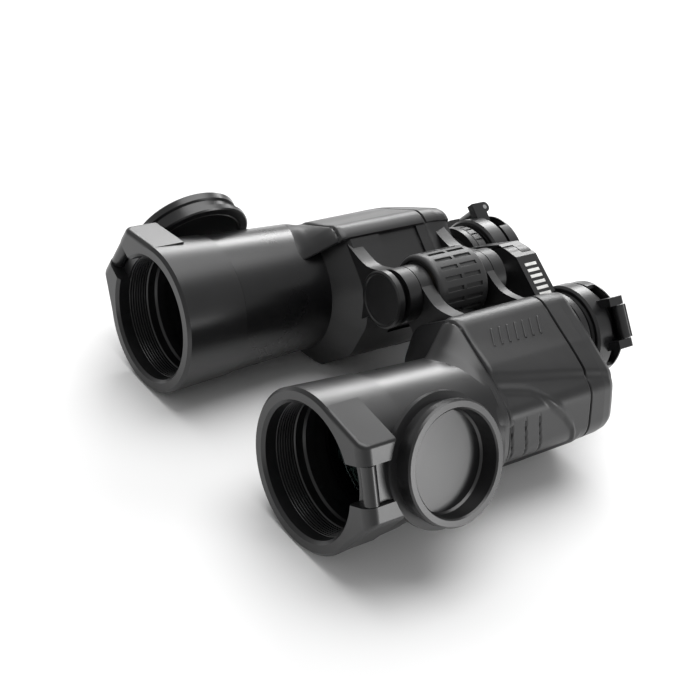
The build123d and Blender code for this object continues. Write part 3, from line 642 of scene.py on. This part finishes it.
def row_tree():
    """Bars in a straight row."""
    inputs = {
        "Count": ("NodeSocketInt", 5),
        "Start": ("NodeSocketVector", (0.0, 0.0, 0.0)),
        "Step": ("NodeSocketVector", (0.001, 0.0, 0.0)),
        "Bar Size": ("NodeSocketVector", (0.001, 0.001, 0.001)),
        "Turn": ("NodeSocketVector", (0.0, 0.0, 0.0)),
        "Finish": ("NodeSocketMaterial", None),
    }
    tree, g, given, out = new_tree("Bars in a row", inputs)
    index = g.node("GeometryNodeInputIndex").outputs[0]
    shift = g.node("ShaderNodeVectorMath", operation="SCALE")
    g.feed(shift, 0, given["Step"])
    g.feed(shift, "Scale", index)
    place = g.node("ShaderNodeVectorMath", operation="ADD")
    g.feed(place, 0, shift.outputs[0])
    g.feed(place, 1, given["Start"])
    points = g.node("GeometryNodePoints")
    g.feed(points, "Count", given["Count"])
    g.feed(points, "Position", place.outputs[0])
    bar = g.node("GeometryNodeMeshCube")
    g.feed(bar, "Size", given["Bar Size"])
    placed = g.node("GeometryNodeInstanceOnPoints")
    g.feed(placed, "Points", points.outputs[0])
    g.feed(placed, "Instance", bar.outputs["Mesh"])
    g.feed(placed, "Rotation", given["Turn"])
    real = g.node("GeometryNodeRealizeInstances")
    g.feed(real, "Geometry", placed.outputs[0])
    finish_tree(g, real.outputs[0], given, out)
    return tree


TREES = {}


def tree_named(key):
    """Build a geometry tree the first time it is wanted."""
    makers = {"slots": slots_tree, "rings": rings_tree, "row": row_tree}
    if key not in TREES:
        TREES[key] = makers[key]()
    return TREES[key]


def evaluated_mesh(name, tree, values, base=None):
    """Run a tree on a base mesh and return the result as a plain mesh."""
    start = base or bpy.data.meshes.new(name + "_base")
    holder = bpy.data.objects.new(name + "_holder", start)
    bpy.context.scene.collection.objects.link(holder)
    modifier = holder.modifiers.new("Nodes", "NODES")
    modifier.node_group = tree
    for item in tree.interface.items_tree:
        if item.in_out == "INPUT" and item.name in values:
            modifier[item.identifier] = values[item.name]
    graph = bpy.context.evaluated_depsgraph_get()
    mesh = bpy.data.meshes.new_from_object(holder.evaluated_get(graph), depsgraph=graph)
    holder.modifiers.clear()
    bpy.data.objects.remove(holder)
    mesh.name = name
    if not mesh.polygons:
        raise RuntimeError(f"{name}: the tree made no faces")
    return mesh


def soften(piece, width, segments=2, angle=40.0):
    """Round a piece's edges with a bevel and weighted normals."""
    bevel = piece.modifiers.new("Edge rounding", "BEVEL")
    bevel.width = width
    bevel.segments = segments
    bevel.limit_method = "ANGLE"
    bevel.angle_limit = math.radians(angle)
    bevel.harden_normals = False
    weight = piece.modifiers.new("Even normals", "WEIGHTED_NORMAL")
    weight.keep_sharp = True
    return piece


# ---------------------------------------------------------------- operators
class BINOCULARS_OT_finishes(bpy.types.Operator):
    """Give every CAD node the finish of its slot"""

    bl_idname = "binoculars.finishes"
    bl_label = "Finishes"

    def execute(self, context):
        make_finishes(context.scene.binocular_finish)
        for name, node in frame["nodes"].items():
            node.data.materials.clear()
            node.data.materials.append(FINISHES[slot_of(name)])
        return {"FINISHED"}


class BINOCULARS_OT_wheel(bpy.types.Operator):
    """Build the slotted grip of the focusing wheel"""

    bl_idname = "binoculars.wheel"
    bl_label = "Focusing wheel"

    def execute(self, context):
        settings = context.scene.binocular_wheel
        low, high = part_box("focus_wheel")
        radius = (high.z - low.z) / 2
        core = (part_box("focus_nut")[1].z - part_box("focus_nut")[0].z) / 2 + 0.05 * MM
        front, back = high.y, low.y
        lip = radius - 0.9 * MM
        rim = lip - 1.6 * MM
        dish = 1.2 * MM
        chamfer = 1.3 * MM
        profile = [
            (core, front - dish),
            (rim, front - dish),
            (rim, front),
            (lip, front),
            (radius, front - chamfer),
            (radius, back + chamfer),
            (lip, back),
            (rim, back),
            (rim, back + dish),
            (core, back + dish),
        ]
        rounded = rounded_profile(profile, 0.7 * MM)
        body = turned_mesh("focus_wheel_body", rounded, HINGE.x, HINGE.z, 180)
        values = {
            "Count": settings.rows,
            "Rows": 2,
            "Radius": radius + 1.0 * MM,
            "Row Pitch": settings.slot_length + 1.6 * MM,
            "Bar Size": (2 * MM + 2 * settings.slot_depth, settings.slot_length, settings.slot_width),
            "Centre": (HINGE.x, (front + back) / 2, HINGE.z),
            "Start": math.radians(9.0),
            "Finish": FINISHES["wheel_rubber"],
        }
        mesh = evaluated_mesh("focus_wheel_grip", tree_named("slots"), values, body)
        smooth_mesh(mesh, 30.0)
        finish = FINISHES["wheel_rubber"]
        grip = link_piece("focus_wheel_grip", mesh, "focus_wheel", finish)
        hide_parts("focus_wheel")
        soften(grip, settings.edge_round)
        return {"FINISHED"}


class BINOCULARS_OT_baffles(bpy.types.Operator):
    """Set the light-stop rings inside both hoods"""

    bl_idname = "binoculars.baffles"
    bl_label = "Hood baffles"

    def execute(self, context):
        settings = context.scene.binocular_trim
        for side in SIDES:
            axis = middle(f"{side}_objective_barrel")
            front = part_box(f"{side}_objective_hood")[1].y
            values = {
                "Count": settings.baffle_count,
                "Pitch": settings.baffle_pitch,
                "Radius": 27.0 * MM,
                "Thickness": settings.baffle_thickness,
                "Centre": (axis.x, front - 6.6 * MM, axis.z),
                "Finish": FINISHES["hood_plastic"],
            }
            name = f"{side}_hood_baffles"
            mesh = evaluated_mesh(name, tree_named("rings"), values)
            smooth_mesh(mesh)
            link_piece(name, mesh, f"{side}_half", FINISHES["hood_plastic"])
        return {"FINISHED"}


# ---------------------------------------------------------------- moulded housing skins
# corners of the housing's cross-section right of the hinge, as x, z and rounding in mm
SECTION = (
    (15.5, 20.0, 12.0),
    (40.0, 39.0, 8.0),
    (62.0, 28.5, 16.0),
    (80.0, 17.5, 8.0),
    (84.5, -2.0, 10.0),
    (56.0, -34.5, 12.0),
    (40.0, -34.5, 10.0),
    (20.5, -17.5, 14.0),
    (13.6, 2.0, 16.0),
)
BARREL_CENTRE = Vector((58.0, 0.0))
BARREL_RADIUS = 29.0
SKIN_SPAN = (29.5, 137.0)
# lines on the skin, as distance behind the hoods' mouths against distance round the section, in mm
SEAM_LINE = ((20, 81.0), (29, 79.5), (40, 81.0), (60, 81.0), (100, 81.5), (140, 84.0))
LEDGE_TOP = ((79, 60.0), (97, 64.3), (118, 68.4), (128, 70.9), (146, 75.0))
LEDGE_FOOT = ((79, 66.2), (94, 69.0), (115, 72.8), (128, 75.3), (146, 79.0))
RECESS_EDGE = (
    (79, 68.5),
    (88, 70.5),
    (96.6, 73.0),
    (101, 76.0),
    (106, 81.0),
    (112.7, 87.0),
    (118, 93.5),
    (121, 101.0),
)
RECESS_BACK = 122.0
RECESS_LOW = 134.0
SLIT_LINES = (
    ((83.5, 82.0), (84.3, 102.0)),
    ((91.0, 82.5), (92.6, 103.0)),
    ((99.0, 83.0), (100.8, 103.0)),
)
REAR_INSET = ((128, 0.0), (137, 0.3), (141.5, 1.0), (144.0, 2.2), (145.9, 4.4))
CAD_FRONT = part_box("left_objective_hood")[1].y
# heights of the skin in mm: its own, and what the ledge, recess, slits and seam add or take
SKIN_BASE = 1.0
SKIN_UNDER = -0.6
SKIN_FOOT = -0.5
LEDGE_RISE = 0.8
LEDGE_DROP = 0.5
RECESS_LIP = 0.5
RECESS_FLOOR = 0.25
SLIT_DEPTH = 0.8
SEAM_DEPTH = 0.75
EDGE_ROUND = 0.7


def along(line, place):
    """Value of a line of points at a place, held at its ends."""
    if place <= line[0][0]:
        return line[0][1]
    for (a, low), (b, high) in zip(line, line[1:]):
        if place <= b:
            return low + (high - low) * (place - a) / (b - a)
    return line[-1][1]


def ease(value):
    """Smooth step from 0 to 1."""
    t = min(1.0, max(0.0, value))
    return t * t * (3 - 2 * t)


def section_outline(steps=12):
    """The rounded cross-section as points, from its inner corner over the top."""
    points = []
    for index, (x, z, radius) in enumerate(SECTION):
        corner = Vector((x, z))
        before = (Vector(SECTION[index - 1][:2]) - corner).normalized()
        after = (Vector(SECTION[(index + 1) % len(SECTION)][:2]) - corner).normalized()
        half = before.angle(after) / 2
        centre = corner + (before + after).normalized() * radius / math.sin(half)
        start = corner + before * radius / math.tan(half) - centre
        end = corner + after * radius / math.tan(half) - centre
        turn = math.atan2(start.x * end.y - start.y * end.x, start.dot(end))
        for step in range(steps + 1):
            angle = turn * step / steps
            cosine = math.cos(angle)
            sine = math.sin(angle)
            turned = (start.x * cosine - start.y * sine, start.x * sine + start.y * cosine)
            points.append(centre + Vector(turned))
    return points


def spaced_section(pitch=0.6):
    """Points of the section at an even pitch over the skin's span, with outward normals."""
    outline = section_outline()
    lengths = [0.0]
    for first, second in zip(outline, outline[1:]):
        lengths.append(lengths[-1] + (second - first).length)

    def point(place):
        index = max(i for i, length in enumerate(lengths[:-1]) if length <= place)
        piece = lengths[index + 1] - lengths[index]
        return outline[index].lerp(outline[index + 1], (place - lengths[index]) / max(piece, 1e-9))

    count = round((SKIN_SPAN[1] - SKIN_SPAN[0]) / pitch)
    made = []
    for index in range(count + 1):
        place = SKIN_SPAN[0] + (SKIN_SPAN[1] - SKIN_SPAN[0]) * index / count
        tangent = (point(place + 0.8) - point(place - 0.8)).normalized()
        made.append((place, point(place), Vector((-tangent.y, tangent.x))))
    return made


def skin_height(back, place):
    """Height of the skin above the housing, in mm, with its ledge, recess, slits and seam."""
    height = SKIN_BASE
    top = along(LEDGE_TOP, back)
    foot = along(LEDGE_FOOT, back)
    seam = along(SEAM_LINE, place)
    behind_seam = ease((back - seam) / 2.0)
    fall = ease((place - top) / (foot - top))
    height += LEDGE_RISE * ease((place - (top - 16.0)) / 16.0) * (1 - fall) * behind_seam
    height -= LEDGE_DROP * fall * (1 - ease((place - foot - 1.0) / 12.0)) * behind_seam
    if back < RECESS_BACK + 2.0:
        edge = along(RECESS_EDGE, back)
        inside = min(place - edge, (RECESS_BACK - back) * 1.1, RECESS_LOW - place)
        height += RECESS_LIP * ease((inside + 4.0) / 3.5) * behind_seam
        height -= (height - RECESS_FLOOR) * ease((inside + 0.6) / 3.4) * behind_seam
    for (front, low), (rear, high) in SLIT_LINES:
        share = (place - low) / (high - low)
        line = front + (rear - front) * share + 1.2 * share * share
        ends = ease((place - low) / 1.5) * ease((high - place) / 1.5)
        height -= SLIT_DEPTH * math.exp(-(((back - line) / 0.42) ** 4)) * ends
    height -= SEAM_DEPTH * math.exp(-(((back - seam) / 0.38) ** 4))
    return height


def skin_line(built, columns, sign, back, margin, shape):
    """One line of outer and one of inner vertices round the housing."""
    outer = []
    inner = []
    for place, spot, normal in columns:
        base, height = shape(back, place, spot, normal)
        near = min(place - SKIN_SPAN[0], SKIN_SPAN[1] - place, margin + 0.05)
        rounding = math.sin(min(1.0, near / EDGE_ROUND + 0.35) * math.pi / 2)
        rounded = SKIN_FOOT + (height - SKIN_FOOT) * rounding
        for line, level in ((outer, rounded), (inner, SKIN_UNDER)):
            out = base + normal * level
            x = out.x * sign * MM + HINGE.x
            z = max(out.y * MM + AXIS_LIFT, CAD_BOX[0].z)
            line.append(built.verts.new((x, CAD_FRONT - back * MM, z)))
    return outer, inner


def skin_mesh(name, side, front, rear, rows, shape):
    """A closed moulded skin over the outer side of a housing, between two distances back."""
    sign = -1 if side == "left" else 1
    columns = spaced_section()
    built = bmesh.new()
    outer = []
    inner = []
    for row in range(rows + 1):
        back = front + (rear - front) * row / rows
        above, below = skin_line(built, columns, sign, back, min(back - front, rear - back), shape)
        outer.append(above)
        inner.append(below)
    last = len(columns) - 1
    for row in range(rows):
        over, under = outer[row], inner[row]
        next_over, next_under = outer[row + 1], inner[row + 1]
        for k in range(last):
            built.faces.new((over[k], over[k + 1], next_over[k + 1], next_over[k]))
            built.faces.new((under[k], next_under[k], next_under[k + 1], under[k + 1]))
        for k in (0, last):
            built.faces.new((over[k], next_over[k], next_under[k], under[k]))
    for row in (0, rows):
        over, under = outer[row], inner[row]
        for k in range(last):
            built.faces.new((over[k], over[k + 1], under[k + 1], under[k]))
    bmesh.ops.recalc_face_normals(built, faces=built.faces)
    mesh = bpy.data.meshes.new(name)
    built.to_mesh(mesh)
    built.free()
    smooth_mesh(mesh, 50.0)
    return mesh


def front_shape(back, place, spot, normal):
    """Base point and height of the front skin, which grows out of the round barrel."""
    hump = math.exp(-(((place - 36.0) / 22.0) ** 2))
    start = 72.0 - 8.0 * hump
    share = ease((back - start) / (83.5 - start))
    ray = (spot - BARREL_CENTRE).normalized()
    base = (BARREL_CENTRE + ray * BARREL_RADIUS).lerp(spot, share)
    height = skin_height(back, place)
    grown = ease((back - start + 2.0) / 9.0)
    return base, SKIN_FOOT + (height - SKIN_FOOT) * grown


def rear_shape(back, place, spot, normal):
    """Base point and height of the cover's skin, rounded in towards the eyepiece."""
    inset = along(REAR_INSET, back)
    return spot - normal * inset, skin_height(back, place)


class BINOCULARS_OT_skins(bpy.types.Operator):
    """Mould the sculpted skins over both housings"""

    bl_idname = "binoculars.skins"
    bl_label = "Housing skins"

    def execute(self, context):
        for side in SIDES:
            for part, front, rear, rows, shape in (
                ("housing", 63.0, 128.35, 130, front_shape),
                ("cover", 128.85, 145.9, 40, rear_shape),
            ):
                name = f"{side}_{part}_skin"
                mesh = skin_mesh(name, side, front, rear, rows, shape)
                link_piece(name, mesh, f"{side}_half", FINISHES["housing"])
        return {"FINISHED"}


class BINOCULARS_OT_marks(bpy.types.Operator):
    """Set the white scale marks on the left eyepiece arm"""

    bl_idname = "binoculars.marks"
    bl_label = "Scale marks"

    def execute(self, context):
        settings = context.scene.binocular_trim
        high = Vector((-6.0, 0.0, 36.2)) * MM
        low = Vector((-32.0, 0.0, 19.8)) * MM
        slope = (low - high).normalized()
        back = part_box("left_eyepiece_arm")[0].y
        start = high + slope * 4.6 * MM + Vector((HINGE.x, back + ARM_WIDTH / 2, AXIS_LIFT))
        values = {
            "Count": settings.tick_count,
            "Start": start,
            "Step": slope * 3.0 * MM,
            "Bar Size": (1.5 * MM, settings.tick_length, 0.3 * MM),
            "Turn": (0.0, math.atan2(slope.z, -slope.x), 0.0),
            "Finish": FINISHES["mark"],
        }
        mesh = evaluated_mesh("left_arm_scale_marks", tree_named("row"), values)
        ink = FINISHES["mark"]
        marks = link_piece("left_arm_scale_marks", mesh, "left_ocular", ink)
        soften(marks, 0.08 * MM)
        return {"FINISHED"}


class BINOCULARS_OT_strokes(bpy.types.Operator):
    """Raise the plain slanted strokes on the left housing's shoulder"""

    bl_idname = "binoculars.strokes"
    bl_label = "Housing strokes"

    def execute(self, context):
        settings = context.scene.binocular_trim
        top = Vector((-40.0, 0.0, 39.0)) * MM
        foot = Vector((-62.0, 0.0, 28.5)) * MM
        slope = (foot - top).normalized()
        tilt = math.atan2(slope.z, -slope.x)
        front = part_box("left_prism_housing")[1].y - STROKE_SETBACK
        out = Vector((slope.z, 0.0, -slope.x)) * settings.stroke_lift
        place = top.lerp(foot, 0.52) + out + Vector((HINGE.x, front, AXIS_LIFT))
        turn = Matrix.Rotation(tilt, 3, "Y") @ Matrix.Rotation(math.radians(-22.0), 3, "Z")
        values = {
            "Count": settings.stroke_count,
            "Start": place,
            "Step": (0.0, -settings.stroke_pitch, 0.0),
            "Bar Size": (8.6 * MM, 1.1 * MM, 0.7 * MM),
            "Turn": tuple(turn.to_euler()),
            "Finish": FINISHES["housing"],
        }
        mesh = evaluated_mesh("left_housing_strokes", tree_named("row"), values)
        lacquer = FINISHES["housing"]
        strokes = link_piece("left_housing_strokes", mesh, "left_half", lacquer)
        soften(strokes, 0.2 * MM)
        return {"FINISHED"}


class BINOCULARS_OT_stage(bpy.types.Operator):
    """Make the floor, the studio lights and the camera"""

    bl_idname = "binoculars.stage"
    bl_label = "Studio"

    def execute(self, context):
        make_floor()
        make_lights()
        make_camera()
        return {"FINISHED"}


CAMERA_PLACE = (-0.3709, 0.3724, 0.3506)
CAMERA_TURN = (57.7593, -9.7443, -127.0803)
CAMERA_LENS = 71.88
FLOOR_REACH = 60.0


def make_camera():
    """Camera at three-quarter front, a little above, slightly rolled."""
    data = bpy.data.cameras.new("Camera")
    data.lens = CAMERA_LENS
    data.sensor_width = 36.0
    data.clip_start = 0.01
    data.clip_end = 50.0
    camera = bpy.data.objects.new("Camera", data)
    camera.location = CAMERA_PLACE
    camera.rotation_euler = [math.radians(a) for a in CAMERA_TURN]
    bpy.context.scene.collection.objects.link(camera)
    bpy.context.scene.camera = camera


def make_floor():
    """Plain pale sheet under the object."""
    material, g, shader = start_material("Pale floor")
    place = g.node("ShaderNodeTexCoord").outputs["Object"]
    cloud = g.noise(place, 3.0, 2.0)
    g.feed(shader, "Base Color", g.tint(cloud, (0.86, 0.86, 0.86, 1.0), (0.89, 0.89, 0.89, 1.0)))
    shader.inputs["Roughness"].default_value = 0.9
    built = bmesh.new()
    bmesh.ops.create_grid(built, x_segments=2, y_segments=2, size=FLOOR_REACH)
    mesh = bpy.data.meshes.new("floor")
    built.to_mesh(mesh)
    built.free()
    floor = bpy.data.objects.new("floor", mesh)
    floor.location.z = CAD_BOX[0].z - 0.0001
    mesh.materials.append(material)
    bpy.context.scene.collection.objects.link(floor)


def wide_sun(name, toward, width, strength):
    """A very wide sun, which lights the whole floor evenly and casts soft shadows."""
    data = bpy.data.lights.new(name, "SUN")
    data.energy = strength
    data.angle = math.radians(width)
    light = bpy.data.objects.new(name, data)
    light.rotation_euler = Vector(toward).to_track_quat("Z", "Y").to_euler()
    bpy.context.scene.collection.objects.link(light)


def softbox(name, place, aim, width, height, watts):
    """A rectangular area light aimed at a point."""
    data = bpy.data.lights.new(name, "AREA")
    data.shape = "RECTANGLE"
    data.size = width
    data.size_y = height
    data.energy = watts
    light = bpy.data.objects.new(name, data)
    light.location = place
    light.rotation_euler = (Vector(aim) - Vector(place)).to_track_quat("-Z", "Y").to_euler()
    light.visible_camera = False
    bpy.context.scene.collection.objects.link(light)


def make_lights():
    """Overhead light, a rear strip for the edges, a side panel, and a dim surround."""
    centre = (CAD_BOX[0] + CAD_BOX[1]) / 2
    wide_sun("Overhead", (0.18, -0.16, 1.0), 56.0, 2.35)
    softbox("Rear strip", (0.75, -0.7, 0.55), centre, 0.9, 0.25, 8.0)
    softbox("Side panel", (-0.93, -0.5, 0.16), centre, 0.26, 0.22, 2.4)
    world = bpy.data.worlds.new("Surround")
    world.use_nodes = True
    sky = world.node_tree.nodes["Background"]
    sky.inputs["Color"].default_value = (1.0, 1.0, 1.0, 1.0)
    sky.inputs["Strength"].default_value = 0.42
    bpy.context.scene.world = world
    bpy.context.scene.view_settings.view_transform = "Standard"


class BINOCULARS_PT_panel(bpy.types.Panel):
    """Sidebar panel that lists the operators and their settings"""

    bl_idname = "BINOCULARS_PT_panel"
    bl_label = "Binoculars"
    bl_space_type = "VIEW_3D"
    bl_region_type = "UI"
    bl_category = "Binoculars"

    def draw(self, context):
        for operator in STEPS:
            self.layout.operator(operator.bl_idname)
        for group in ("binocular_wheel", "binocular_trim", "binocular_finish"):
            settings = getattr(context.scene, group)
            for name in type(settings).__annotations__:
                self.layout.prop(settings, name)


STEPS = (
    BINOCULARS_OT_finishes,
    BINOCULARS_OT_wheel,
    BINOCULARS_OT_baffles,
    BINOCULARS_OT_skins,
    BINOCULARS_OT_marks,
    BINOCULARS_OT_strokes,
    BINOCULARS_OT_stage,
)
SETTINGS = (WheelSettings, TrimSettings, FinishSettings)


def register():
    """Register the settings, operators and panel."""
    for item in (*SETTINGS, *STEPS, BINOCULARS_PT_panel):
        bpy.utils.register_class(item)
    bpy.types.Scene.binocular_wheel = bpy.props.PointerProperty(type=WheelSettings)
    bpy.types.Scene.binocular_trim = bpy.props.PointerProperty(type=TrimSettings)
    bpy.types.Scene.binocular_finish = bpy.props.PointerProperty(type=FinishSettings)


def unregister():
    """Take everything back out."""
    del bpy.types.Scene.binocular_wheel
    del bpy.types.Scene.binocular_trim
    del bpy.types.Scene.binocular_finish
    for item in reversed((*SETTINGS, *STEPS, BINOCULARS_PT_panel)):
        bpy.utils.unregister_class(item)


def main():
    """Build every piece in order."""
    register()
    for operator in STEPS:
        group, name = operator.bl_idname.split(".")
        getattr(getattr(bpy.ops, group), name)()


if __name__ == "__main__":
    main()
